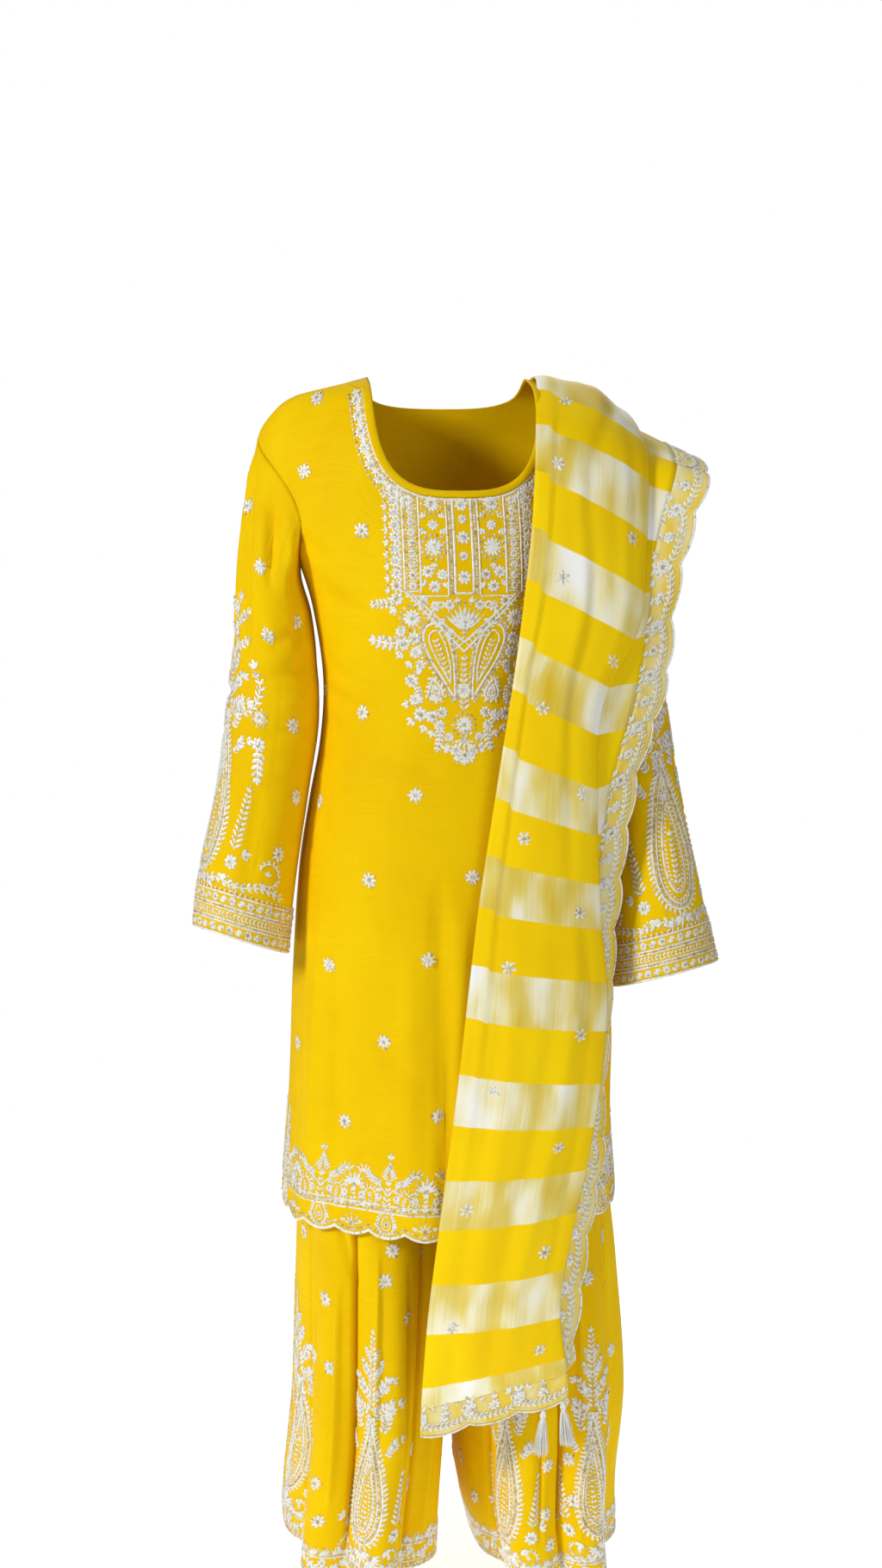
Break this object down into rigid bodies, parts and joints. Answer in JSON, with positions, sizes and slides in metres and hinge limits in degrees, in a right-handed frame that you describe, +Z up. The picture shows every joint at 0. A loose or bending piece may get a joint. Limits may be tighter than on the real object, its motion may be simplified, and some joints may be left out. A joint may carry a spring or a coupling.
{
  "type": "sharara suit",
  "caption": "Worn sharara suit with no wearer: a long-sleeved kurta, flared sharara trousers and a bordered dupatta folded over one shoulder, hollow and open at neck, cuffs and hems.",
  "frame": {"origin": "the point midway between the two inner ends of the shoulder seams, level with them, where the wearer's shoulders hold the set", "axes": "+Z up, the front faces -Y, +X towards the side that carries the dupatta"},
  "size_m": [0.5796, 0.3717, 1.3473],
  "materials": {
    "kurta_silk": "raw silk, soft sheen, pale metallic-thread embroidery",
    "sharara_silk": "raw silk, soft sheen, pale metallic-thread embroidery",
    "embroidered_trim": "densely embroidered band in pale gold thread",
    "dupatta_chiffon": "light silk with woven metallic cross bands",
    "organza_border": "sheer pale gold organza with thread embroidery",
    "tassel_thread": "pale twisted silk threads"
  },
  "bodies": {
    "root": {"kurta_front": "kurta_silk", "kurta_back": "kurta_silk", "kurta_neck_binding": "kurta_silk", "kurta_sleeve_left": "kurta_silk", "kurta_sleeve_right": "kurta_silk", "cuff_band_left": "embroidered_trim", "cuff_band_right": "embroidered_trim", "sharara_waistband": "sharara_silk", "sharara_front_left": "sharara_silk", "sharara_back_left": "sharara_silk", "sharara_front_right": "sharara_silk", "sharara_back_right": "sharara_silk", "dupatta_front": "dupatta_chiffon", "dupatta_shoulder": "dupatta_chiffon", "dupatta_back": "dupatta_chiffon", "dupatta_border_front": "organza_border", "dupatta_border_shoulder": "organza_border", "dupatta_border_back": "organza_border", "dupatta_end_front": "organza_border", "dupatta_end_back": "organza_border", "tassel_1": "tassel_thread", "tassel_2": "tassel_thread"}
  },
  "joints": []
}
